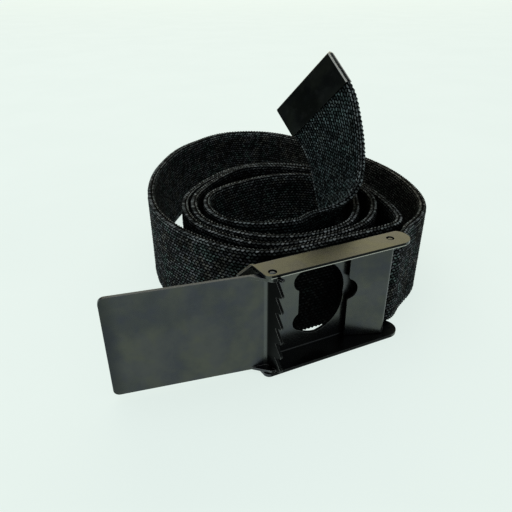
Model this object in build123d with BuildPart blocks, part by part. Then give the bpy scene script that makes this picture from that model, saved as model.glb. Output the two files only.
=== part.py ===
"""Web belt with a flip-top clamp buckle, coiled and standing on its long edge.

Frame: +Z up along the belt's width, +X along the buckle from the lid's hinge to the
fixed end, +Y from the buckle's front into the coil. Origin: centre of the underside of
the buckle frame, on the plane that the belt stands on. Units: millimetres.

At rest the lid is flipped open past flat and the strap clamp is shut.
"""
from build123d import *

import math
import os

# ---- driving dimensions -------------------------------------------------------------
SHEET = 1.2               # thickness of the buckle's steel sheet
CLEARANCE = 0.3           # gap between pieces that move past each other
BEND = 0.4                # inner bend radius of the sheet

# frame: a channel whose side walls end in rounded lugs past the base plate
FRAME_HEIGHT = 42.0       # over both side walls
FRAME_DEPTH = 10.65       # from the base plate's back to the side walls' front edges
FRAME_LENGTH = 61.1       # of the side walls
WALL_SLANT = 1.4          # how far the walls' hinge end leans in at the front
WALL_CORNER = 2.2
BASE_RIGHT = 23.65        # fixed end of the base plate
TONGUE_LEFT = -35.4       # hinge end of the base plate's tongue
TONGUE_CUT = 2.6          # how much its clipped corners lose at that end
TONGUE_CORNER = 0.8

# bottle-opener cut-out: a D with a straight lip between two round lobes; upper half of
# its outline about OPENER_Z, as arcs: lip end, lobe, top of the D, far side
OPENER_Z = 21.5
OPENER_ARCS = [
    ((-11.8, 5.1), (-14.0, 8.7), (-10.9, 12.7)),
    ((-10.9, 12.7), (-7.9, 14.6), (-3.9, 15.5)),
    ((-3.9, 15.5), (4.0, 11.0), (7.2, 0.0)),
]

# pivots: pips pressed out of the ears sit in holes in the side walls
PIP_R = 1.40
HOLE_R = PIP_R + 0.05
PIP_RISE = SHEET + CLEARANCE - 0.2
PIP_ROUND = 0.8
PRESS_R, PRESS_DEPTH = 0.9, 1.1           # dimple left inside an ear by pressing its pip out
EAR = 1.0                 # thickness of the ears

# lid, described from its hinge: "along" runs to its tip, "up" to its inner side
HINGE_X, HINGE_DEPTH = -26.15, 8.1        # depth is measured from the base plate's back
LID_TIP = 55.05
LID_INNER = -1.4          # inner face of the lid plate
LID_FOLD = 1.3            # where the inner face turns into the cam lip
LID_CORNER = 2.2
LID_LEAN = 9.46           # degrees that the open lid leans back past flat
LID_EAR_R = 2.6
LID_EAR_END = 7.0
CAM_TIP = (-2.0, 4.1)     # end of the cam lip's inner face
TOOTH_COUNT, TOOTH_PITCH, TOOTH_DEPTH, TOOTH_BLUNT = 6, 6.3, 2.7, 0.6

# strap clamp, described from its pivot in the same way, "along" to its free edge
CLAMP_X, CLAMP_DEPTH = 23.05, 5.2
CLAMP_TILT = 20.0         # degrees that its plate slopes up from the base plate
CLAMP_EDGE = 14.6
CLAMP_INNER = 2.0         # back face of the clamp plate
CLAMP_EAR_R = 2.0
CLAMP_EAR_END = 5.5
HEEL_FOLD = -0.7          # middle of the sheet where the plate turns into the heel
HEEL_TIP = (0.0, -1.7)    # middle of the heel's toothed end
HEEL_TEETH, HEEL_PITCH, HEEL_DEPTH = 9, 4.2, 1.1
NOTCH_Z, NOTCH_R, NOTCH_SINK = 23.0, 4.5, 1.0     # half-round pry notch
NOTCH_MOUTH = 1.2         # rounding of the notch's mouth

# webbing
WEB_WIDTH = 38.0
WEB_THICK = 2.5
WEB_CRUSHED = 1.7         # thickness under the clamp's heel
WEB_END = 16.9            # sewn end, under the clamp plate
CRUSH_FROM, CRUSH_TO, CRUSH_RAMP = 20.6, 25.4, 3.4
TURN_ENDS = (449.0, 747.0, 1002.0)        # lengths of path at which the turns meet
WEB_STEP = 8.0            # spacing of the points that shape the webbing's faces

# Plan of the coil: the webbing's middle line from the buckle inwards.
WEB_PATH = [
    (29.8, 3.7), (38.8, 9.4), (54.4, 19.0), (66.4, 33.0), (72.8, 48.0), (76.2, 62.0),
    (77.4, 80.0), (73.9, 106.0), (67.6, 127.5), (60.9, 144.6), (56.8, 152.6),
    (47.8, 162.1), (36.7, 167.5), (23.8, 168.7), (8.8, 162.8), (-7.3, 151.4),
    (-19.8, 137.0), (-30.4, 120.4), (-38.4, 102.1), (-42.7, 87.0), (-44.6, 70.2),
    (-43.8, 59.2), (-37.7, 39.2), (-32.2, 29.2), (-25.2, 20.7), (-16.2, 15.8),
    (-4.2, 14.6), (23.8, 14.6), (33.8, 14.8),
    # second turn
    (41.3, 17.0), (45.8, 23.7), (50.8, 42.7), (53.4, 64.2), (51.3, 76.2), (45.8, 87.2),
    (37.8, 96.7), (26.8, 104.0), (14.8, 107.2), (2.8, 104.5), (-15.2, 93.2),
    (-28.2, 79.2), (-33.8, 61.7), (-33.8, 52.7), (-31.4, 43.2), (-26.0, 32.7),
    (-18.7, 23.7), (-9.2, 19.0), (1.8, 17.8), (13.8, 18.2), (23.8, 20.2),
    # third turn
    (31.8, 24.2), (39.3, 31.2), (45.3, 39.4), (50.0, 58.2), (46.3, 78.7), (40.3, 88.2),
    (31.8, 96.2), (21.8, 102.0), (11.8, 104.0), (2.8, 101.4), (-13.4, 90.2),
    (-24.7, 77.7), (-29.8, 61.2), (-29.6, 52.7), (-26.8, 44.7), (-20.7, 35.2),
    (-13.2, 28.0), (-4.2, 23.5), (5.8, 21.8), (14.8, 22.4), (23.3, 25.4),
    # fourth turn, up to where the free end starts to rise
    (29.8, 31.2), (34.8, 37.2), (39.3, 44.7), (43.0, 52.4), (44.0, 61.4), (42.6, 70.0),
    (38.4, 77.8), (31.4, 83.0), (24.3, 85.8), (13.8, 87.0), (2.3, 85.6), (-7.7, 83.2),
    (-15.2, 79.5), (-20.2, 74.0), (-23.8, 58.2), (-22.0, 50.7), (-17.4, 44.4),
    (-10.7, 39.9), (-2.2, 37.2), (6.1, 36.3),
]

# The free end rises out of the coil: middle of the webbing, and its lower edge there.
FREE_END = [
    ((6.1, 36.3, 19.0), (6.1, 36.3, 0.0)),
    ((15.8, 39.0, 20.5), (20.8, 40.9, 2.3)),
    ((24.1, 42.8, 24.6), (30.9, 49.9, 8.3)),
    ((30.3, 47.3, 30.8), (34.4, 60.4, 17.7)),
    ((34.7, 52.1, 38.3), (35.2, 67.9, 27.6)),
    ((37.2, 57.3, 46.4), (35.8, 73.5, 36.6)),
    ((38.4, 62.7, 55.0), (35.6, 78.3, 44.5)),
    ((38.5, 68.5, 63.2), (33.8, 82.7, 51.4)),
    ((37.8, 75.3, 70.6), (30.9, 87.1, 57.3)),
]
TIP_END = (34.8, 87.6, 81.8)              # middle of the tip's closed end
TIP_SHEET = 0.7
TIP_WIDTH = 38.6
TIP_CORNER = 1.6

BACK = FRAME_DEPTH / 2     # y of the base plate's back face
FRONT = -FRAME_DEPTH / 2
BASE_FRONT = BACK - SHEET
FRAME_RIGHT = FRAME_LENGTH / 2
FRAME_LEFT = -FRAME_LENGTH / 2
MIDDLE_Z = FRAME_HEIGHT / 2
PLATE_LOW = SHEET + CLEARANCE             # underside of the lid and of the clamp
PLATE_HEIGHT = FRAME_HEIGHT - 2 * PLATE_LOW
HINGE_Y = BACK - HINGE_DEPTH
CLAMP_Y = BACK - CLAMP_DEPTH
HALF = SHEET / 2
# lower and upper ear: its underside, and from there its pip and its dimple
EARS = ((0, -PIP_RISE, EAR - PRESS_DEPTH), (PLATE_HEIGHT - EAR, 0, 0))
TOUCH = 0.01

os.makedirs("parts", exist_ok=True)


def save(piece, label):
    """Label a finished piece and write it to its own STEP file."""
    piece.part.label = label
    export_step(piece.part, f"parts/{label}.step")


def pivot_plane(x, y, lean, z=0.0):
    """Horizontal plane at a pivot: its x axis runs back along a plate, its y axis to the front."""
    angle = math.radians(180 - lean)
    return Plane(origin=(x, y, z), x_dir=(math.cos(angle), math.sin(angle), 0), z_dir=(0, 0, 1))


def flange_plane(pivot, start, end):
    """Upright plane through a bent flange: x from its fold to its end, y up."""
    fold = pivot.from_local_coords(Vector(*start))
    edge = pivot.from_local_coords(Vector(*end))
    across = (edge - fold).cross(Vector(0, 0, 1))
    return Plane(origin=edge, x_dir=edge - fold, z_dir=across)


# ---- buckle frame -------------------------------------------------------------------
with BuildPart() as buckle_frame:
    # channel section: the base plate with its two side walls
    with BuildSketch(Plane.YZ.offset(FRAME_LEFT)):
        with Locations((0, MIDDLE_Z)):
            Rectangle(FRAME_DEPTH, FRAME_HEIGHT)
        with Locations((-SHEET, MIDDLE_Z)):
            Rectangle(FRAME_DEPTH, FRAME_HEIGHT - 2 * SHEET, mode=Mode.SUBTRACT)
        fillet(vertices().group_by(Axis.X)[-1], BEND + SHEET)
        fillet(vertices().filter_by_position(Axis.X, BASE_FRONT - TOUCH, BASE_FRONT + TOUCH), BEND)
    extrude(amount=FRAME_LENGTH)
    # outline of the side walls: rounded lugs at the fixed end
    with BuildSketch():
        with BuildLine():
            lug = CenterArc((FRAME_RIGHT - BACK, 0), BACK, -90, 180)
            Polyline(lug @ 1, (FRAME_LEFT, BACK), (FRAME_LEFT + WALL_SLANT, FRONT), lug @ 0)
        make_face()
        fillet(vertices().group_by(Axis.Y)[0].sort_by(Axis.X)[0], WALL_CORNER)
    extrude(amount=FRAME_HEIGHT, mode=Mode.INTERSECT)
    # the base plate stops short of the lugs
    with BuildSketch(Plane.XZ.offset(-BACK)):
        with Locations((BASE_RIGHT, MIDDLE_Z)):
            Rectangle(
                FRAME_RIGHT - BASE_RIGHT, FRAME_HEIGHT - 2 * (SHEET + BEND),
                align=(Align.MIN, Align.CENTER),
            )
    extrude(amount=2 * SHEET, mode=Mode.SUBTRACT)
    # tongue at the hinge end, with clipped corners
    tongue_low, tongue_high = BEND, FRAME_HEIGHT - BEND
    with BuildSketch(Plane.XZ.offset(-BACK)):
        with BuildLine():
            Polyline(
                (FRAME_LEFT + SHEET, tongue_low), (FRAME_LEFT, tongue_low),
                (TONGUE_LEFT, tongue_low + TONGUE_CUT), (TONGUE_LEFT, tongue_high - TONGUE_CUT),
                (FRAME_LEFT, tongue_high), (FRAME_LEFT + SHEET, tongue_high),
                close=True,
            )
        make_face()
        fillet(vertices().group_by(Axis.X)[0], TONGUE_CORNER)
    extrude(amount=SHEET)
    # bottle-opener cut-out
    with BuildSketch(Plane.XZ.offset(-BACK)):
        with BuildLine():
            for side in (1, -1):
                for arc in OPENER_ARCS:
                    ThreePointArc(*[(x, OPENER_Z + side * rise) for x, rise in arc])
            lip_x, lip_rise = OPENER_ARCS[0][0]
            Line((lip_x, OPENER_Z - lip_rise), (lip_x, OPENER_Z + lip_rise))
        make_face()
    extrude(amount=SHEET, mode=Mode.SUBTRACT)
    # pivot holes through both side walls
    with BuildSketch():
        with Locations((HINGE_X, HINGE_Y), (CLAMP_X, CLAMP_Y)):
            Circle(HOLE_R)
    extrude(amount=FRAME_HEIGHT, mode=Mode.SUBTRACT)
save(buckle_frame, "buckle_frame")

# ---- lid, with its cam lip ----------------------------------------------------------
lid_pivot = pivot_plane(HINGE_X, HINGE_Y, LID_LEAN, PLATE_LOW)
lip_run = math.dist((LID_FOLD, LID_INNER), CAM_TIP)
lip_along = (CAM_TIP[0] - LID_FOLD) / lip_run
lip_up = (CAM_TIP[1] - LID_INNER) / lip_run
lid_middle = LID_INNER - HALF
lip_end = (CAM_TIP[0] - HALF * lip_up, CAM_TIP[1] + HALF * lip_along)
# the middle lines of plate and lip meet half a sheet outside the inner fold
lid_corner = (lip_end[0] - (lip_end[1] - lid_middle) * lip_along / lip_up, lid_middle)
with BuildPart() as buckle_lid:
    with BuildSketch(lid_pivot):
        with BuildLine():
            FilletPolyline((LID_TIP, lid_middle), lid_corner, lip_end, radius=BEND + HALF)
        trace(line_width=SHEET)
    extrude(amount=PLATE_HEIGHT)
    short_edges = buckle_lid.edges().filter_by(lambda e: abs(e.length - SHEET) < TOUCH)
    fillet(short_edges.sort_by(Axis.X)[:2], LID_CORNER)
    # saw teeth along the cam lip
    with BuildSketch(flange_plane(lid_pivot, lid_corner, lip_end)):
        for number in range(TOOTH_COUNT + 1):
            low = PLATE_HEIGHT / 2 + (number - 0.5 - TOOTH_COUNT / 2) * TOOTH_PITCH
            with BuildLine():
                Polyline(
                    (TOUCH, low - TOOTH_PITCH / 2 + TOOTH_BLUNT),
                    (TOUCH, low + TOOTH_PITCH / 2),
                    (-TOOTH_DEPTH, low + TOOTH_PITCH / 2 - TOOTH_BLUNT),
                    close=True,
                )
            make_face()
    extrude(amount=SHEET, both=True, mode=Mode.SUBTRACT)
    # ears at the lower and upper edge of the hinge end, with their pips
    for low, pip_low, press_low in EARS:
        with BuildSketch(lid_pivot.offset(low)):
            Circle(LID_EAR_R)
            with Locations((LID_EAR_END, lid_middle)):
                Rectangle(LID_EAR_END - LID_FOLD, SHEET, align=(Align.MAX, Align.CENTER))
            make_hull()
        extrude(amount=EAR)
        with BuildSketch(lid_pivot.offset(low + pip_low)):
            Circle(PIP_R)
        extrude(amount=EAR + PIP_RISE)
        with BuildSketch(lid_pivot.offset(low + press_low)):
            Circle(PRESS_R)
        extrude(amount=PRESS_DEPTH, mode=Mode.SUBTRACT)
    pip_rims = buckle_lid.edges().filter_by(GeomType.CIRCLE)
    fillet(pip_rims.group_by(Axis.Z)[0] + pip_rims.group_by(Axis.Z)[-1], PIP_ROUND)
save(buckle_lid, "buckle_lid")

# ---- strap clamp, shut --------------------------------------------------------------
clamp_pivot = pivot_plane(CLAMP_X, CLAMP_Y, CLAMP_TILT, PLATE_LOW)
clamp_middle = CLAMP_INNER + HALF
with BuildPart() as strap_clamp:
    with BuildSketch(clamp_pivot):
        with BuildLine():
            FilletPolyline(
                (CLAMP_EDGE, clamp_middle), (HEEL_FOLD, clamp_middle), HEEL_TIP,
                radius=BEND + HALF,
            )
        trace(line_width=SHEET)
    extrude(amount=PLATE_HEIGHT)
    # pry notch in the free edge
    notch_origin = clamp_pivot.from_local_coords(Vector(CLAMP_EDGE + NOTCH_SINK, CLAMP_INNER))
    with BuildSketch(Plane(origin=notch_origin, x_dir=(0, 0, 1), z_dir=clamp_pivot.y_dir)):
        with Locations((NOTCH_Z - PLATE_LOW, 0)):
            Circle(NOTCH_R)
    extrude(amount=2 * SHEET, both=True, mode=Mode.SUBTRACT)
    mouth_edges = strap_clamp.edges().filter_by(lambda e: abs(e.length - SHEET) < TOUCH)
    mouth_edges = mouth_edges.filter_by_position(Axis.Z, NOTCH_Z - NOTCH_R, NOTCH_Z + NOTCH_R)
    fillet(mouth_edges.sort_by(Axis.X)[:2], NOTCH_MOUTH)
    # fine teeth along the heel
    with BuildSketch(flange_plane(clamp_pivot, (HEEL_FOLD, clamp_middle), HEEL_TIP)):
        for number in range(HEEL_TEETH):
            height = PLATE_HEIGHT / 2 + (number - (HEEL_TEETH - 1) / 2) * HEEL_PITCH
            with BuildLine():
                Polyline(
                    (TOUCH, height - HEEL_DEPTH), (TOUCH, height + HEEL_DEPTH),
                    (-HEEL_DEPTH, height), close=True,
                )
            make_face()
    extrude(amount=SHEET, both=True, mode=Mode.SUBTRACT)
    for low, pip_low, press_low in EARS:
        with BuildSketch(clamp_pivot.offset(low)):
            Circle(CLAMP_EAR_R)
            with Locations((CLAMP_EAR_END, clamp_middle)):
                Rectangle(CLAMP_EAR_END, SHEET, align=(Align.MAX, Align.CENTER))
            make_hull()
        extrude(amount=EAR)
        with BuildSketch(clamp_pivot.offset(low + pip_low)):
            Circle(PIP_R)
        extrude(amount=EAR + PIP_RISE)
        with BuildSketch(clamp_pivot.offset(low + press_low)):
            Circle(PRESS_R)
        extrude(amount=PRESS_DEPTH, mode=Mode.SUBTRACT)
    pip_rims = strap_clamp.edges().filter_by(GeomType.CIRCLE)
    fillet(pip_rims.group_by(Axis.Z)[0] + pip_rims.group_by(Axis.Z)[-1], PIP_ROUND)
save(strap_clamp, "strap_clamp")

# ---- webbing ------------------------------------------------------------------------
web_path = Spline(*WEB_PATH)
web_in_buckle = (FRAME_HEIGHT - WEB_WIDTH) / 2


def path_side(distance, side):
    """Point on one face of the webbing, at a distance along its middle line."""
    middle = web_path.position_at(distance, position_mode=PositionMode.LENGTH)
    heading = web_path.tangent_at(distance, position_mode=PositionMode.LENGTH)
    return middle + Vector(-heading.Y, heading.X) * (side * WEB_THICK / 2)


def face_points(start, end, side):
    """Evenly spaced points along one face of a stretch of webbing."""
    count = math.ceil((end - start) / WEB_STEP)
    return [path_side(start + (end - start) * step / count, side) for step in range(count + 1)]


# the sewn end lies on the base plate and is crushed under the clamp's heel
with BuildPart() as webbing_fixed_end:
    with BuildSketch(Plane.XY.offset(web_in_buckle)):
        with BuildLine():
            back = Polyline((WEB_END, BASE_FRONT), (CRUSH_TO, BASE_FRONT), path_side(0, 1))
            front = Polyline(
                (WEB_END, BASE_FRONT - WEB_THICK),
                (CRUSH_FROM - CRUSH_RAMP, BASE_FRONT - WEB_THICK),
                (CRUSH_FROM, BASE_FRONT - WEB_CRUSHED),
                (CRUSH_TO, BASE_FRONT - WEB_CRUSHED),
                path_side(0, -1),
            )
            Line(back @ 0, front @ 0)
            Line(back @ 1, front @ 1)
        make_face()
    extrude(amount=WEB_WIDTH)
save(webbing_fixed_end, "webbing_fixed_end")

# four turns of the coil, standing on their lower edge
turn_starts = (0.0,) + TURN_ENDS
turn_ends = TURN_ENDS + (web_path.length,)
for number, (start, end) in enumerate(zip(turn_starts, turn_ends), 1):
    with BuildPart() as webbing_turn:
        with BuildSketch():
            with BuildLine():
                outer = Spline(*face_points(start, end, -1))
                inner = Spline(*face_points(start, end, 1))
                Line(outer @ 0, inner @ 0)
                Line(outer @ 1, inner @ 1)
            make_face()
        extrude(amount=WEB_WIDTH)
    save(webbing_turn, f"webbing_turn_{number}")


def free_end_plane(number):
    """Plane across the free end at a station: x down the width, z along the webbing."""
    middles = [Vector(*middle) for middle, lower in FREE_END] + [Vector(*TIP_END)]
    heading = middles[number + 1] - middles[max(number - 1, 0)]
    if number == 0:
        heading = web_path.tangent_at(1)
    across = Vector(*FREE_END[number][1]) - middles[number]
    across = across - heading.normalized() * across.dot(heading.normalized())
    return Plane(origin=middles[number], x_dir=across, z_dir=heading)


# the tip is flat, square to the line from the last station to its closed end
last_middle = Vector(*FREE_END[-1][0])
tip_axis = Vector(*TIP_END) - last_middle
tip_across = Vector(*FREE_END[-1][1]) - last_middle
tip_across = tip_across - tip_axis.normalized() * tip_across.dot(tip_axis.normalized())
tip_mouth = Plane(origin=last_middle, x_dir=tip_across, z_dir=tip_axis)
tip_length = tip_axis.length

with BuildPart() as webbing_free_end:
    for number in range(len(FREE_END) - 1):
        with BuildSketch(free_end_plane(number)):
            Rectangle(WEB_WIDTH, WEB_THICK)
    with BuildSketch(tip_mouth):
        Rectangle(WEB_WIDTH, WEB_THICK)
    loft()
    with BuildSketch(tip_mouth):
        Rectangle(WEB_WIDTH, WEB_THICK)
    extrude(amount=tip_length - TIP_SHEET)
save(webbing_free_end, "webbing_free_end")

# ---- folded metal tip ---------------------------------------------------------------
with BuildPart() as strap_tip:
    with BuildSketch(tip_mouth):
        Rectangle(TIP_WIDTH, WEB_THICK + 2 * TIP_SHEET)
    extrude(amount=tip_length)
    closed_end = strap_tip.faces().sort_by_distance(TIP_END)[0]
    fillet(closed_end.edges().filter_by(lambda e: e.length > TIP_WIDTH - 1), TIP_CORNER)
    with BuildSketch(tip_mouth):
        Rectangle(TIP_WIDTH + 1, WEB_THICK)
    extrude(amount=tip_length - TIP_SHEET, mode=Mode.SUBTRACT)
save(strap_tip, "strap_tip")
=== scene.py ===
"""A coiled web belt with a flip-top clamp buckle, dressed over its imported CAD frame."""

import math

import bpy
import numpy as np
from mathutils import Matrix, Vector


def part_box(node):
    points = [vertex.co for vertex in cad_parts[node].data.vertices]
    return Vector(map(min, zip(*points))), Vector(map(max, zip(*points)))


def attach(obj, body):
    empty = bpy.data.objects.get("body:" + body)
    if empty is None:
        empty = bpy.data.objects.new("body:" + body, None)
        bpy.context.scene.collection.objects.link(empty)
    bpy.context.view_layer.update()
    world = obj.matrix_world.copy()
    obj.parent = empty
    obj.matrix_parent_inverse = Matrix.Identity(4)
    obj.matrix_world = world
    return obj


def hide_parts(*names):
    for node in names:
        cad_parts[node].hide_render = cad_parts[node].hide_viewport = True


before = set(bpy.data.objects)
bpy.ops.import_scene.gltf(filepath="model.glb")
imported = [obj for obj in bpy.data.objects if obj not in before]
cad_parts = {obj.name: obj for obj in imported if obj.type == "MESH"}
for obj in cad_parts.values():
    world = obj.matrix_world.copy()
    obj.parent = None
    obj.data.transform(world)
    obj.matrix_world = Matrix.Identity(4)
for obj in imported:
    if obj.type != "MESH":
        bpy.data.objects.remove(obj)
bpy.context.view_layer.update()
rng = np.random.default_rng(38)

MM = 0.001

# ---- the webbing's route, in millimetres, as in part.py --------------------------------
WEB_WIDTH = 38.0
WEB_THICK = 2.5
WEB_FULL = 2.9  # where nothing presses on it
WEB_CRUSHED = 1.6  # under the clamp
TIP_SHEET = 0.7
TIP_WIDTH = 38.6
FRAME_HEIGHT = 42.0
PIP_RISE = 1.3

# Middle of the sewn end on the base plate: along the buckle, depth.
SEWN_END = [(16.9, 2.82), (19.0, 3.0), (20.8, 3.25), (23.0, 3.27), (25.6, 3.27)]

# Plan of the coil, from the buckle inwards.
WEB_PATH = [
    (29.8, 3.7), (38.8, 9.4), (54.4, 19.0), (66.4, 33.0), (72.8, 48.0), (76.2, 62.0),
    (77.4, 80.0), (73.9, 106.0), (67.6, 127.5), (60.9, 144.6), (56.8, 152.6),
    (47.8, 162.1), (36.7, 167.5), (23.8, 168.7), (8.8, 162.8), (-7.3, 151.4),
    (-19.8, 137.0), (-30.4, 120.4), (-38.4, 102.1), (-42.7, 87.0), (-44.6, 70.2),
    (-43.8, 59.2), (-37.7, 39.2), (-32.2, 29.2), (-25.2, 20.7), (-16.2, 15.8),
    (-4.2, 14.6), (23.8, 14.6), (33.8, 14.8),
    # second turn
    (41.3, 17.0), (45.8, 23.7), (50.8, 42.7), (53.4, 64.2), (51.3, 76.2), (45.8, 87.2),
    (37.8, 96.7), (26.8, 104.0), (14.8, 107.2), (2.8, 104.5), (-15.2, 93.2),
    (-28.2, 79.2), (-33.8, 61.7), (-33.8, 52.7), (-31.4, 43.2), (-26.0, 32.7),
    (-18.7, 23.7), (-9.2, 19.0), (1.8, 17.8), (13.8, 18.2), (23.8, 20.2),
    # third turn
    (31.8, 24.2), (39.3, 31.2), (45.3, 39.4), (50.0, 58.2), (46.3, 78.7), (40.3, 88.2),
    (31.8, 96.2), (21.8, 102.0), (11.8, 104.0), (2.8, 101.4), (-13.4, 90.2),
    (-24.7, 77.7), (-29.8, 61.2), (-29.6, 52.7), (-26.8, 44.7), (-20.7, 35.2),
    (-13.2, 28.0), (-4.2, 23.5), (5.8, 21.8), (14.8, 22.4), (23.3, 25.4),
    # fourth turn
    (29.8, 31.2), (34.8, 37.2), (39.3, 44.7), (43.0, 52.4), (44.0, 61.4), (42.6, 70.0),
    (38.4, 77.8), (31.4, 83.0), (24.3, 85.8), (13.8, 87.0), (2.3, 85.6), (-7.7, 83.2),
    (-15.2, 79.5), (-20.2, 74.0), (-23.8, 58.2), (-22.0, 50.7), (-17.4, 44.4),
    (-10.7, 39.9), (-2.2, 37.2), (6.1, 36.3),
]

# The free end rises out of the coil: middle of the webbing, and its lower edge there.
FREE_END = [
    ((15.8, 39.0, 20.5), (20.8, 40.9, 2.3)),
    ((24.1, 42.8, 24.6), (30.9, 49.9, 8.3)),
    ((30.3, 47.3, 30.8), (34.4, 60.4, 17.7)),
    ((34.7, 52.1, 38.3), (35.2, 67.9, 27.6)),
    ((37.2, 57.3, 46.4), (35.8, 73.5, 36.6)),
    ((38.4, 62.7, 55.0), (35.6, 78.3, 44.5)),
    ((38.5, 68.5, 63.2), (33.8, 82.7, 51.4)),
    ((37.8, 75.3, 70.6), (30.9, 87.1, 57.3)),
]
TIP_END = (34.8, 87.6, 81.8)
IN_TIP = (0.2, 0.6, 1.0)  # shares of the tip's length at which the webbing is held straight
ROUTE_SAMPLES = 20001

# Where things begin and end along the webbing, in millimetres from its sewn end.
CRUSH_IN, CRUSH_OUT = (0.5, 3.9), (8.7, 13.0)  # into and out of the clamp's bite
FULL_FROM = (13, 30)
SETTLES = (12, 36)  # comes down from the buckle to the table
UNEVEN_FROM = (60, 90)
# The same, in millimetres before the mouth of the metal tip.
UNEVEN_TO = (130, 90)
LEAVES_COIL = 100
HELD_FROM, HELD_TO = 0.6, -0.4
HELD_THICKNESS = 0.92  # of WEB_THICK, in the metal tip
CRUSHED_RELIEF = 0.8  # share of the weave's relief that the clamp takes away
UNEVEN_STEP, UNEVEN_RISE = 45, 0.22  # how the coil stands slightly off the table

# ---- the weave, in millimetres ---------------------------------------------------------
ROW = 1.7  # spacing of the weave's knots along the webbing
COLUMN = 1.34  # and across it
COLUMNS = 28  # columns of knots across the webbing
KNOT_RISE = 0.17
KNOT_SPREAD = 0.25  # how much the knots' rises differ, as a share
LOW_KNOT = -0.04  # between the knots of a column
VALLEY = -KNOT_RISE * 0.9  # between the columns
EDGE_RISE = 0.3  # of the knots in the outermost column
EDGE_DROP, EDGE_DROP_FROM, EDGE_DROP_TO = 0.13, 16.8, 18.8
# The rounded edge beyond the last column: distance from the middle, half thickness, column.
EDGE_ROUND = [(18.98, 1.12, 14.17), (19.18, 0.52, 14.62)]
END_KNOT, END_GAP = 0.16, -0.1  # rise of the knots round that edge, and of the gaps
END_OUT = 1.3  # how far they stand out sideways, as a share of the rise
ROW_JITTER = 0.1
# The weave's map counts rows along the webbing and columns across it.
BACK_FACE = 2000.0  # what is added to the rows of the back face
OVER_EDGE = 0.6  # columns from the edge's last point to the middle of the edge


def unit(vectors):
    return vectors / np.linalg.norm(vectors, axis=-1, keepdims=True)


def smooth(x, low, high):
    """0 below low, 1 above high, with a smooth step between."""
    t = np.clip((x - low) / (high - low), 0, 1)
    return t * t * (3 - 2 * t)


def cubic(knots, values, at):
    """Natural cubic spline through values at the knots, read at other parameters."""
    gap = np.diff(knots)
    slope = np.diff(values, axis=0) / gap[:, None]
    count = len(knots)
    system = np.eye(count)
    right = np.zeros_like(values)
    for k in range(1, count - 1):
        system[k, k - 1 : k + 2] = gap[k - 1], 2 * (gap[k - 1] + gap[k]), gap[k]
        right[k] = 6 * (slope[k] - slope[k - 1])
    bend = np.linalg.solve(system, right)
    k = np.clip(np.searchsorted(knots, at, side="right") - 1, 0, count - 2)
    h, a = gap[k][:, None], (at - knots[k])[:, None]
    b = h - a
    return (
        (bend[k] * b**3 + bend[k + 1] * a**3) / (6 * h)
        + (values[k] / h - bend[k] * h / 6) * b
        + (values[k + 1] / h - bend[k + 1] * h / 6) * a
    )


def wander(length, step, size):
    """Smooth random values along a length, about one new value per step."""
    knots = np.linspace(0, length, int(length / step) + 2)
    return lambda s: cubic(knots, rng.normal(0, size, (len(knots), 1)), s)[:, 0]


def distances(points):
    """Length of the line through the points, up to each of them."""
    return np.concatenate([[0], np.cumsum(np.linalg.norm(np.diff(points, axis=0), axis=1))])


def route():
    """Every half row's place along the webbing, its middle and the way to the lower edge
    there, and the place where the metal tip begins."""
    down = (0.0, 0.0, -1.0)
    middle_height = WEB_WIDTH / 2
    rows = [(x, y, middle_height, *down) for x, y in SEWN_END + WEB_PATH]
    for middle, lower in FREE_END:
        rows.append((*middle, *(np.array(lower) - middle) / middle_height))
    last, end = np.array(FREE_END[-1][0]), np.array(TIP_END)
    edge = np.array(rows[-1][3:])
    axis = unit(end - last)
    edge = unit(edge - axis * edge.dot(axis))
    tip_length = np.linalg.norm(end - last) - TIP_SHEET
    for share in IN_TIP:
        rows.append((*(last + axis * tip_length * share), *edge))
    rows = np.array(rows)
    knots = distances(rows[:, :3])
    fine = np.linspace(0, knots[-1], ROUTE_SAMPLES)
    placed = distances(cubic(knots, rows, fine)[:, :3])
    total = placed[-1]
    count = 2 * round(total / ROW) + 1
    s = np.linspace(0, total, count)
    along = cubic(knots, rows, np.interp(s, placed, fine))
    tip_from = total - tip_length
    return s, along[:, :3], along[:, 3:], tip_from


s, middle, lower, tip_from = route()
strap_length = s[-1]
free_row = (tip_from - LEAVES_COIL) / ROW

# In the buckle the webbing runs 2 mm above the table, and it settles after it.
buckle_lift = (FRAME_HEIGHT - WEB_WIDTH) / 2
middle[:, 2] += buckle_lift * (1 - smooth(s, *SETTLES))
uneven = smooth(s, *UNEVEN_FROM)
uneven = uneven * (1 - smooth(s, tip_from - UNEVEN_TO[0], tip_from - UNEVEN_TO[1]))
middle[:, 2] += uneven * np.abs(wander(strap_length, UNEVEN_STEP, UNEVEN_RISE)(s))

heading = unit(np.gradient(middle, axis=0))
lower = unit(lower - heading * (lower * heading).sum(1, keepdims=True))
facing = np.cross(heading, lower)

# thickness: crushed by the clamp, and plain where the metal tip holds it
crush = smooth(s, *CRUSH_IN) * (1 - smooth(s, *CRUSH_OUT))
thick = 1 - crush * (1 - WEB_CRUSHED / WEB_THICK)
thick = thick + smooth(s, *FULL_FROM) * (WEB_FULL / WEB_THICK - 1)
in_tip = smooth(s, tip_from - HELD_FROM, tip_from - HELD_TO)
thick = thick * (1 - in_tip) + HELD_THICKNESS * in_tip
relief = (1 - in_tip) * (1 - CRUSHED_RELIEF * crush)


def face_line():
    """Points across one face: how far across, half thickness, kind (0 valley, 1 column,
    2 edge) and the column there."""
    face = []
    for j in range(-COLUMNS + 1, COLUMNS):
        across = j * COLUMN / 2
        drop = EDGE_DROP * smooth(abs(across), EDGE_DROP_FROM, EDGE_DROP_TO)
        face.append((across, WEB_THICK / 2 - drop, (j + COLUMNS) % 2, j / 2))
    end = [(t, d, 2, c) for t, d, c in EDGE_ROUND]
    return [(-t, d, 2, -c) for t, d, _, c in reversed(end)] + face + end


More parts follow.
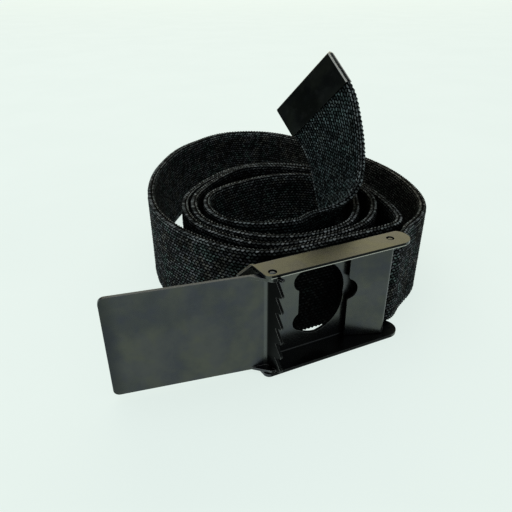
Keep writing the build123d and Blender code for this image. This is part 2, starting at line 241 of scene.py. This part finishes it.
def build_strap():
    """The whole webbing as one closed mesh, its woven knots raised in turn."""
    side = face_line()
    across = np.array([p[0] for p in side])
    depth = np.array([p[1] for p in side])
    kind = np.array([p[2] for p in side])
    # columns counted round the webbing's edge as well as across its face
    weave_at = np.array([p[3] for p in side])
    count, points = len(s), len(side)
    column = np.round(across / COLUMN - 0.5).astype(int)
    half_row = np.arange(count)

    faces_xyz = []
    for sign in (1, -1):
        shift = 0 if sign > 0 else 1
        knot = (half_row[:, None] + column[None, :] + shift) % 2 == 0
        outer = np.abs(across) > (COLUMNS - 1.5) * COLUMN / 2
        high_rise = np.where(outer, EDGE_RISE, KNOT_RISE)
        high_rise = high_rise * (1 + rng.normal(0, KNOT_SPREAD, knot.shape))
        rise = np.where(kind == 1, np.where(knot, high_rise, LOW_KNOT), VALLEY)
        end_knot = (half_row[:, None] + column[None, :] + shift + (across > 0)) % 2 == 0
        end_rise = np.where(end_knot, END_KNOT, END_GAP)
        rise = np.where(kind == 2, end_rise, rise) * relief[:, None]
        reach = across[None, :] + np.sign(across) * relief[:, None] * np.where(
            kind == 2, end_rise * END_OUT, 0
        )
        lift = sign * (depth[None, :] * thick[:, None] + rise)
        jitter = rng.normal(0, ROW_JITTER, (count, points)) * relief[:, None]
        jitter[0] = jitter[-1] = 0
        xyz = (
            middle[:, None, :]
            + lower[:, None, :] * reach[:, :, None]
            + facing[:, None, :] * lift[:, :, None]
            + heading[:, None, :] * jitter[:, :, None]
        )
        faces_xyz.append(xyz)
    verts = np.concatenate([faces_xyz[0], faces_xyz[1][:, ::-1]], axis=1)
    around = 2 * points
    verts = verts.reshape(-1, 3) * MM

    # quads round the webbing, each one's first corner chosen so that its fold runs
    # between two low points
    i, j = np.meshgrid(np.arange(count - 1), np.arange(around), indexing="ij")
    i, j = i.ravel(), j.ravel()
    j_next = (j + 1) % around
    here, there = i * around, (i + 1) * around
    corner = [here + j, here + j_next, there + j_next, there + j]
    side_of = (j >= points).astype(int)
    place = np.where(j < points, j, around - 1 - j)
    place_next = np.where(j_next < points, j_next, around - 1 - j_next)

    def high(row, spot, back):
        return (kind[spot] == 1) & ((row + column[spot] + back) % 2 == 0)

    starts_late = high(i, place, side_of) | high(i + 1, place_next, side_of)
    u0, u1 = i / 2.0, (i + 1) / 2.0
    v0, v1 = weave_at[place], weave_at[place_next]
    over_edge = place == place_next
    v1 = v1 + np.where(over_edge, np.sign(v0) * OVER_EDGE, 0)
    u0, u1 = u0 + BACK_FACE * side_of, u1 + BACK_FACE * side_of
    uv = [(u0, v0), (u0, v1), (u1, v1), (u1, v0)]
    quads = np.empty((len(i), 4), np.int64)
    uvs = np.empty((len(i), 4, 2))
    for k in range(4):
        a, b = corner[k], corner[(k + 1) % 4]
        quads[:, k] = np.where(starts_late, b, a)
        for axis in (0, 1):
            uvs[:, k, axis] = np.where(starts_late, uv[(k + 1) % 4][axis], uv[k][axis])

    # the two cut ends
    caps, cap_uvs = [], []
    for row, flip in ((0, False), (count - 1, True)):
        for k in range(points - 1):
            base = row * around
            quad = [base + k, base + around - 1 - k, base + around - 2 - k, base + k + 1]
            spots = [(row / 2.0, weave_at[k])] * 2 + [(row / 2.0, weave_at[k + 1])] * 2
            if flip:
                quad, spots = quad[::-1], spots[::-1]
            caps.append(quad)
            cap_uvs.append(spots)
    quads = np.concatenate([quads, np.array(caps)])
    uvs = np.concatenate([uvs, np.array(cap_uvs)])

    mesh = bpy.data.meshes.new("strap")
    mesh.vertices.add(len(verts))
    mesh.vertices.foreach_set("co", verts.ravel())
    mesh.loops.add(quads.size)
    mesh.loops.foreach_set("vertex_index", quads.ravel())
    mesh.polygons.add(len(quads))
    mesh.polygons.foreach_set("loop_start", np.arange(0, quads.size, 4))
    mesh.polygons.foreach_set("use_smooth", np.ones(len(quads), bool))
    layer = mesh.uv_layers.new(name="weave")
    layer.data.foreach_set("uv", uvs.reshape(-1))
    mesh.update(calc_edges=True)
    mesh.validate()
    strap = bpy.data.objects.new("strap", mesh)
    bpy.context.scene.collection.objects.link(strap)
    return strap


# ---- node helpers ----------------------------------------------------------------------
class Nodes:
    """Short calls for building a material's node tree."""

    def __init__(self, name):
        self.material = bpy.data.materials.new(name)
        self.material.use_nodes = True
        self.tree = self.material.node_tree
        self.shader = self.tree.nodes["Principled BSDF"]

    def add(self, kind, **settings):
        node = self.tree.nodes.new(kind)
        for key, value in settings.items():
            setattr(node, key, value)
        return node

    def put(self, socket, value):
        """Links a socket to the value, or sets it."""
        if hasattr(value, "is_output"):
            self.tree.links.new(value, socket)
        elif value is not None:
            socket.default_value = value

    def math(self, operation, a, b=None, c=None, clamp=False):
        node = self.add("ShaderNodeMath", operation=operation, use_clamp=clamp)
        for socket, value in zip(node.inputs, (a, b, c)):
            self.put(socket, value)
        return node.outputs[0]

    def product(self, first, *others):
        for other in others:
            first = self.math("MULTIPLY", first, other)
        return first

    def raised(self, value, share, by):
        """The value, times 1 + by where share is 1."""
        return self.product(value, self.math("MULTIPLY_ADD", share, by, 1.0))

    def shoved(self, value, noise, by):
        """The value, moved by up to half of by either way."""
        return self.math("MULTIPLY_ADD", noise, by, self.math("SUBTRACT", value, by / 2))

    def noise(self, vector, scale, detail=3.0, roughness=0.55):
        node = self.add("ShaderNodeTexNoise")
        self.put(node.inputs["Vector"], vector)
        self.put(node.inputs["Scale"], scale)
        self.put(node.inputs["Detail"], detail)
        self.put(node.inputs["Roughness"], roughness)
        return node.outputs["Fac"]

    def span(self, value, low, high, to_low=0.0, to_high=1.0, smooth=True):
        """to_low below low, to_high above high, and a smooth or straight step between."""
        node = self.add("ShaderNodeMapRange")
        if smooth:
            node.interpolation_type = "SMOOTHSTEP"
        for key, number in zip(
            ("Value", "From Min", "From Max", "To Min", "To Max"),
            (value, low, high, to_low, to_high),
        ):
            self.put(node.inputs[key], number)
        return node.outputs[0]

    def mix(self, share, a, b, blend="MIX", clamp=True):
        node = self.add("ShaderNodeMix", data_type="RGBA", blend_type=blend, clamp_factor=clamp)
        self.put(node.inputs["Factor"], share)
        self.put(node.inputs[6], a)
        self.put(node.inputs[7], b)
        return node.outputs[2]

    def stretched(self, vector, scale):
        node = self.add("ShaderNodeMapping")
        self.put(node.inputs["Vector"], vector)
        node.inputs["Scale"].default_value = scale
        return node.outputs[0]

    def bump(self, height, strength, distance, normal=None):
        node = self.add("ShaderNodeBump")
        self.put(node.inputs["Height"], height)
        node.inputs["Strength"].default_value = strength
        node.inputs["Distance"].default_value = distance
        if normal is not None:
            self.put(node.inputs["Normal"], normal)
        return node.outputs[0]

    def place(self):
        """Where on the piece, in metres from the frame's origin."""
        return self.add("ShaderNodeTexCoord").outputs["Object"]

    def split(self, vector):
        node = self.add("ShaderNodeSeparateXYZ")
        self.put(node.inputs[0], vector)
        return node.outputs[:3]

    def along(self, vector, direction):
        node = self.add("ShaderNodeVectorMath", operation="DOT_PRODUCT")
        self.put(node.inputs[0], vector)
        self.put(node.inputs[1], direction)
        return node.outputs["Value"]


SHOVE_ALONG, SHOVE_ACROSS = 0.7, 0.5  # how unevenly the knots lie, in rows and columns
KNOT_LEAN = 0.45
KNOT_HALF = (0.46, 0.44)  # half a knot, in rows and columns
EVEN = 100.0  # keeps the count of the columns above zero
EDGE_FROM = COLUMNS / 2 - 1  # the last column, counted from the middle
# The stretch behind the base plate that gets painted shade, in metres.
BEHIND_Y = 0.0168
BEHIND_LEFT, BEHIND_RIGHT, BEHIND_TOP = (-0.026, -0.020), (0.012, 0.017), (0.036, 0.0385)
WARM_LIT_RIGHT = (0.050, 0.066)  # painted warm light towards the outer turn's right side, in metres
TEAL, NAVY, GREY = (0.118, 0.158, 0.150, 1), (0.136, 0.142, 0.156, 1), (0.150, 0.153, 0.140, 1)
FREE_YARN = (0.118, 0.178, 0.180, 1)
EDGE_YARN = (0.142, 0.155, 0.157, 1)
# tone of the painted warm light on the right side
WARM_LIT_YARN = (0.150, 0.140, 0.112, 1)
BETWEEN_KNOTS = (0.0012, 0.0014, 0.0014, 1)


def webbing_material():
    """Charcoal cotton webbing: knots of several yarns, with fibres and patches, and painted light
    and shade.
    """
    n = Nodes("charcoal_webbing")
    rows, columns, _ = n.split(n.add("ShaderNodeUVMap", uv_map="weave").outputs[0])
    place = n.place()
    x, y, z = n.split(place)
    u = n.shoved(rows, n.noise(place, scale=700.0, detail=2.0), SHOVE_ALONG)
    turned = n.stretched(place, (1.0, 1.0, -1.0))
    v = n.shoved(columns, n.noise(turned, scale=640.0, detail=2.0), SHOVE_ACROSS)

    # knots: a lattice whose columns are half a row apart, leaning left and right in turn
    column = n.math("FLOOR", v)
    odd = n.math("MODULO", n.math("ADD", column, EVEN), 2.0)
    row_at = n.math("MULTIPLY_ADD", odd, 0.5, u)
    row = n.math("ROUND", row_at)
    du = n.math("SUBTRACT", row_at, row)
    dv = n.math("SUBTRACT", n.math("SUBTRACT", v, column), 0.5)
    lean = n.math("MULTIPLY_ADD", odd, 2 * KNOT_LEAN, -KNOT_LEAN)
    du_leaning = n.math("MULTIPLY_ADD", dv, lean, du)
    along_sq = n.math("POWER", n.math("DIVIDE", du_leaning, KNOT_HALF[0]), 2.0)
    across_sq = n.math("POWER", n.math("DIVIDE", dv, KNOT_HALF[1]), 2.0)
    reach = n.math("SQRT", n.math("ADD", along_sq, across_sq))
    knot = n.span(reach, 0.5, 1.1, to_low=1.0, to_high=0.0)
    cell = n.add("ShaderNodeCombineXYZ")
    n.put(cell.inputs[0], row)
    n.put(cell.inputs[1], column)
    per_knot = n.add("ShaderNodeTexWhiteNoise", noise_dimensions="2D")
    n.put(per_knot.inputs["Vector"], cell.outputs[0])

    # the outermost columns are bright where the weft wraps over the edge, and the two
    # inside them lie low
    beyond = n.math("ABSOLUTE", columns)
    at_edge = n.span(beyond, EDGE_FROM - 0.1, EDGE_FROM + 0.15)
    beside = n.product(
        n.span(beyond, EDGE_FROM - 2.1, EDGE_FROM - 1.7), n.math("SUBTRACT", 1.0, at_edge)
    )

    patches = n.noise(place, scale=90.0, detail=3.0)
    fibres = n.noise(place, scale=5200.0, detail=4.0, roughness=0.7)
    hue = n.noise(place, scale=230.0, detail=2.0)

    bright = n.product(
        knot,
        n.span(per_knot.outputs["Value"], 0.0, 1.0, to_low=0.35, to_high=1.5),
        n.span(patches, 0.3, 0.7, to_low=0.7, to_high=1.2, smooth=False),
        n.span(fibres, 0.3, 0.7, to_low=0.65, to_high=1.35, smooth=False),
    )
    bright = n.raised(bright, at_edge, 0.6)
    bright = n.raised(bright, beside, -0.1)

    # painted shade behind the base plate, where no light gets
    behind = n.product(
        n.math("LESS_THAN", y, BEHIND_Y),
        n.span(x, *BEHIND_LEFT),
        n.span(x, *BEHIND_RIGHT, to_low=1.0, to_high=0.0),
        n.span(z, *BEHIND_TOP, to_low=1.0, to_high=0.0),
    )
    bright = n.raised(bright, behind, -0.85)

    # painted shade: the face turned into the coil is darker than the outer one, up to where it is
    # free
    freed = n.span(n.math("MODULO", rows, BACK_FACE), free_row - 30.0, free_row)
    inward = n.product(
        n.math("LESS_THAN", rows, BACK_FACE / 2),
        n.math("SUBTRACT", 1.0, freed),
        n.span(beyond, EDGE_FROM - 2.5, EDGE_FROM - 0.5, to_low=1.0, to_high=0.0),
    )
    bright = n.raised(bright, inward, -0.45)

    # painted shade, darker wherever the turns close in
    open_sky = n.add("ShaderNodeAmbientOcclusion", samples=4)
    open_sky.inputs["Distance"].default_value = 0.03
    bright = n.product(
        bright, n.span(open_sky.outputs["AO"], 0.1, 0.9, to_low=0.4, to_high=1.0, smooth=False)
    )

    yarn = n.mix(n.span(hue, 0.40, 0.5), TEAL, NAVY)
    yarn = n.mix(n.span(hue, 0.52, 0.62), yarn, GREY)
    yarn = n.mix(n.product(freed, 0.5), yarn, FREE_YARN)
    yarn = n.mix(n.product(at_edge, 0.75), yarn, EDGE_YARN)
    # painted warm light towards the outer turn's right side
    yarn = n.mix(n.span(x, *WARM_LIT_RIGHT, to_low=0.0, to_high=0.5), yarn, WARM_LIT_YARN)
    colour = n.mix(bright, BETWEEN_KNOTS, yarn, clamp=False)  # some knots are above 1
    rough = n.span(fibres, 0.3, 0.7, to_low=0.72, to_high=0.95, smooth=False)
    height = n.math("MULTIPLY_ADD", fibres, 0.35, knot)
    n.put(n.shader.inputs["Base Color"], colour)
    n.put(n.shader.inputs["Roughness"], rough)
    n.shader.inputs["Specular IOR Level"].default_value = 0.04
    n.put(n.shader.inputs["Normal"], n.bump(height, strength=0.8, distance=0.00025))
    return n.material


DARK_STEEL, LIGHT_STEEL = (0.078, 0.084, 0.089, 1), (0.107, 0.112, 0.101, 1)
DARK_TIP, LIGHT_TIP = (0.012, 0.014, 0.013, 1), (0.026, 0.030, 0.026, 1)
COOL, WARM = (0.96, 0.96, 1.03, 1), (1.03, 1.03, 0.99, 1)
BLOT = (0.060, 0.065, 0.065, 1)
RUBBED_AND_HIGHLIT = (0.42, 0.42, 0.41, 1)
EDGE_WIDTH = 0.00022  # of the rubbed edges and their painted highlight, in metres


def steel_material(name, dark, light, rough, shades, wear_and_highlight):
    """Dark plated steel: cloudy, faintly blotched, rubbed bright along its edges, partly as a
    painted highlight. Its shades are painted light and shade at set places, each with its share,
    its tone and how dull it is."""
    n = Nodes(name)
    place = n.place()
    clouds = n.noise(place, scale=55.0, detail=4.0, roughness=0.6)
    blots = n.noise(place, scale=210.0, detail=3.0, roughness=0.6)
    grain = n.noise(place, scale=2600.0, detail=3.0, roughness=0.6)
    tint = n.mix(n.span(clouds, 0.34, 0.66), dark, light)
    cast = n.mix(n.span(n.noise(place, scale=120.0, detail=2.0), 0.42, 0.6), WARM, COOL)
    colour = n.mix(1.0, tint, cast, "MULTIPLY")
    colour = n.mix(n.span(blots, 0.5, 0.75, to_low=0.0, to_high=0.2), colour, BLOT)
    metallic = 1.0
    for share, tone, dull in shades(n, place):
        colour = n.mix(share, colour, (*tone, 1))
        if dull:
            metallic = n.math("SUBTRACT", metallic, n.product(share, dull))
    bevel = n.add("ShaderNodeBevel", samples=6)
    bevel.inputs["Radius"].default_value = EDGE_WIDTH
    plain = n.add("ShaderNodeNewGeometry").outputs["Normal"]
    turn = n.along(bevel.outputs[0], plain)
    edge = n.span(turn, 0.78, 0.99, to_low=1.0, to_high=0.0)
    patchy = n.span(blots, 0.3, 0.6, to_low=0.5, to_high=1.0)
    # rubbed edges, partly a painted highlight
    rubbed_and_highlit = n.math("MULTIPLY", edge, patchy, clamp=True)
    colour = n.mix(n.product(rubbed_and_highlit, wear_and_highlight), colour, RUBBED_AND_HIGHLIT)
    roughness = n.math(
        "ADD",
        n.span(clouds, 0.3, 0.7, to_low=rough - 0.04, to_high=rough + 0.04, smooth=False),
        n.span(grain, 0.3, 0.7, to_low=-0.04, to_high=0.04, smooth=False),
    )
    normal = n.bump(grain, strength=0.10, distance=0.00004, normal=bevel.outputs[0])
    n.put(n.shader.inputs["Base Color"], colour)
    n.put(n.shader.inputs["Metallic"], metallic)
    n.put(n.shader.inputs["Roughness"], roughness)
    n.put(n.shader.inputs["Normal"], normal)
    return n.material


# Places on the buckle, in metres.
frame_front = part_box("buckle_frame")[0][1]
lid_low, lid_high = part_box("buckle_lid")
lid_left, lid_top = lid_low[0], lid_high[2] - PIP_RISE * MM
FOLD_X = -0.0274  # the lid's fold beside its hinge
TONGUE_END = -0.0272
RIM_HEIGHT = 0.04095  # lower front edge of the upper side wall
BETWEEN_WALLS = 0.0198  # half the height between the side walls

# Tones of the painted light and shade at the places that differ.
PAINTED_SHADE = (0.008, 0.009, 0.009)
PALE = (0.20, 0.21, 0.20)
PAINTED_HIGHLIGHT = (0.42, 0.42, 0.38)
TIP_HIGHLIGHT = (0.75, 0.76, 0.72)
DULL_LIT_TONGUE = (0.105, 0.11, 0.096)
CLAMP_TOP = (0.045, 0.05, 0.055)
LID_TOP = (0.08, 0.095, 0.13)
LID_FREE = (0.03, 0.035, 0.036)


def frame_shades(n, place):
    """Painted shade darkens the side walls' sheared front edges, with a painted highlight line
    inside the upper one; painted light makes the base plate paler to the left and the tongue
    behind the lid dull and pale."""
    x, y, z = n.split(place)
    between = n.math("COMPARE", z, FRAME_HEIGHT / 2 * MM, BETWEEN_WALLS)
    # painted light: the base plate paler to the left
    plate = n.product(
        n.math("GREATER_THAN", y, frame_front + 0.003),
        between,
        n.span(x, -0.008, 0.004, to_low=0.16, to_high=0.0),
    )
    # painted shade on the sheared front edges
    front = n.product(n.math("LESS_THAN", y, frame_front + 0.00004), 0.92)
    # a painted highlight line along the lower front edge of the upper side wall
    rim = n.product(
        n.math("LESS_THAN", y, frame_front + 0.0001),
        n.math("COMPARE", z, RIM_HEIGHT, 0.00016),
    )
    # painted light: the tongue dull and pale in place of what it reflects
    tongue = n.product(
        n.math("LESS_THAN", x, TONGUE_END), n.math("GREATER_THAN", y, 0.0), between
    )
    return (
        (plate, PALE, 0),
        (front, PAINTED_SHADE, 0),
        (rim, PAINTED_HIGHLIGHT, 0),
        (tongue, DULL_LIT_TONGUE, 0.6),
    )


def lid_shades(n, place):
    """Painted shade inside the fold, on the cam lip and its teeth, on the top edge and towards
    the free edge; a painted highlight along the fold."""
    x, _, z = n.split(place)
    # a painted highlight along the fold
    fold = n.product(n.span(x, FOLD_X - 0.0012, FOLD_X - 0.0006), 0.35)
    # painted shade inside the fold, on the cam lip and its teeth
    inside = n.span(x, FOLD_X - 0.0001, FOLD_X + 0.0005, to_low=0.0, to_high=0.92)
    # painted shade on the top edge
    top = n.product(n.math("GREATER_THAN", z, lid_top - 0.00003), 0.9)
    # painted shade towards the free edge
    free = n.span(x, lid_left, lid_left + 0.006, to_low=0.45, to_high=0.0)
    return (
        (fold, PALE, 0),
        (inside, PAINTED_SHADE, 0),
        (top, LID_TOP, 0),
        (free, LID_FREE, 0),
    )


def clamp_shades(n, place):
    """Painted shade, darker towards its upper end."""
    z = n.split(place)[2]
    return ((n.span(z, 0.020, 0.040, to_low=0.0, to_high=0.4), CLAMP_TOP, 0),)


def tip_shades(n, place):
    """A painted highlight line down the open side of the folded tip."""
    from_middle = n.add("ShaderNodeVectorMath", operation="SUBTRACT")
    n.put(from_middle.inputs[0], place)
    n.put(from_middle.inputs[1], middle[-1] * MM)
    across = n.along(from_middle.outputs[0], -lower[-1])
    half = TIP_WIDTH / 2 * MM
    return ((n.span(across, half - 0.0007, half - 0.0004), TIP_HIGHLIGHT, 0),)


# ---- pieces ----------------------------------------------------------------------------
strap = build_strap()
strap.data.materials.append(webbing_material())
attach(strap, "belt")
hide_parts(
    "webbing_fixed_end", "webbing_turn_1", "webbing_turn_2", "webbing_turn_3",
    "webbing_turn_4", "webbing_free_end",
)


def dress(node, dark, light, rough, shades, wear_and_highlight):
    """Gives a CAD node's object its steel."""
    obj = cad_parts[node]
    if not obj.material_slots:
        obj.data.materials.append(None)
    material = steel_material("gunmetal_" + node.split("_")[-1], dark, light, rough, shades, wear_and_highlight)
    for slot in obj.material_slots:
        slot.material = material


dress("buckle_frame", DARK_STEEL, LIGHT_STEEL, rough=0.27, shades=frame_shades, wear_and_highlight=0.5)
dress("buckle_lid", DARK_STEEL, LIGHT_STEEL, rough=0.30, shades=lid_shades, wear_and_highlight=1.0)
dress("strap_clamp", DARK_STEEL, LIGHT_STEEL, rough=0.27, shades=clamp_shades, wear_and_highlight=0.9)
dress("strap_tip", DARK_TIP, LIGHT_TIP, rough=0.30, shades=tip_shades, wear_and_highlight=0.4)

# ---- floor, light and camera -----------------------------------------------------------
FLOOR_HALF, FLOOR_CELLS = 6.0, 24
FLOOR_Z = -0.0003  # just under the lowest knots
FLOOR_GLOW = 0.655


def build_floor():
    """A pale table that gives off most of its own light, so that it has no edge or falloff."""
    line = np.linspace(-FLOOR_HALF, FLOOR_HALF, FLOOR_CELLS + 1)
    verts = [(x, y, FLOOR_Z) for y in line for x in line]
    wide = len(line)
    faces = [
        (k, k + 1, k + wide + 1, k + wide)
        for r in range(FLOOR_CELLS)
        for k in range(r * wide, r * wide + FLOOR_CELLS)
    ]
    mesh = bpy.data.meshes.new("floor")
    mesh.from_pydata(verts, [], faces)
    floor = bpy.data.objects.new("floor", mesh)
    bpy.context.scene.collection.objects.link(floor)
    n = Nodes("pale_table")
    mottle = n.noise(n.place(), scale=9.0, detail=3.0)
    tone = n.mix(n.span(mottle, 0.35, 0.65), (0.20, 0.215, 0.21, 1), (0.215, 0.23, 0.225, 1))
    n.put(n.shader.inputs["Base Color"], tone)
    n.shader.inputs["Roughness"].default_value = 0.85
    n.shader.inputs["Specular IOR Level"].default_value = 0.1
    n.shader.inputs["Emission Color"].default_value = (0.90, 1.0, 0.955, 1)
    n.shader.inputs["Emission Strength"].default_value = FLOOR_GLOW
    mesh.materials.append(n.material)
    return floor


build_floor()


def area_light(name, place, target, size, power, colour):
    """A rectangular light at a place, turned to its target, which the camera doesn't see."""
    data = bpy.data.lights.new(name, "AREA")
    data.shape = "RECTANGLE"
    data.size, data.size_y = size
    data.energy = power
    data.color = colour
    light = bpy.data.objects.new(name, data)
    light.location = place
    light.rotation_mode = "QUATERNION"
    light.rotation_quaternion = (Vector(target) - Vector(place)).to_track_quat("-Z", "Y")
    light.visible_camera = False
    bpy.context.scene.collection.objects.link(light)


area_light(
    "window", place=(-0.5, 0.3, 1.3), target=(0, 0.05, 0), size=(1.2, 1.2),
    power=3.0, colour=(0.96, 1.0, 1.0),
)
# the steel's upright faces and the top flange mirror this one
area_light(
    "warm_wall", place=(1.65, 3.9, 2.2), target=(0, 0, 0.04), size=(5.7, 2.7),
    power=52.0, colour=(1.0, 0.88, 0.52),
)

world = bpy.data.worlds.new("room")
bpy.context.scene.world = world
world.use_nodes = True
sky = world.node_tree.nodes["Background"]
sky.inputs["Color"].default_value = (0.93, 0.97, 1.0, 1)
sky.inputs["Strength"].default_value = 0.27

HEADING, PITCH, ROLL = math.radians(25.0), 0.50578, 0.00445
CAMERA_PLACE = (-89.91, -126.875, 125.02)
FOCAL, SENSOR = 35.42, 36.0
forward = Vector(
    (math.sin(HEADING) * math.cos(PITCH), math.cos(HEADING) * math.cos(PITCH), -math.sin(PITCH))
)
right = Vector((math.cos(HEADING), -math.sin(HEADING), 0))
down = forward.cross(right)
right, down = (
    right * math.cos(ROLL) + down * math.sin(ROLL),
    down * math.cos(ROLL) - right * math.sin(ROLL),
)
lens = bpy.data.cameras.new("camera")
lens.sensor_width, lens.lens = SENSOR, FOCAL
lens.clip_start, lens.clip_end = 0.01, 20.0
camera = bpy.data.objects.new("camera", lens)
turned = Matrix((right, -down, -forward)).transposed().to_4x4()
turned.translation = Vector(CAMERA_PLACE) * MM
camera.matrix_world = turned
bpy.context.scene.collection.objects.link(camera)
bpy.context.scene.camera = camera
bpy.context.scene.view_settings.view_transform = "Standard"
bpy.context.scene.view_settings.look = "Medium High Contrast"
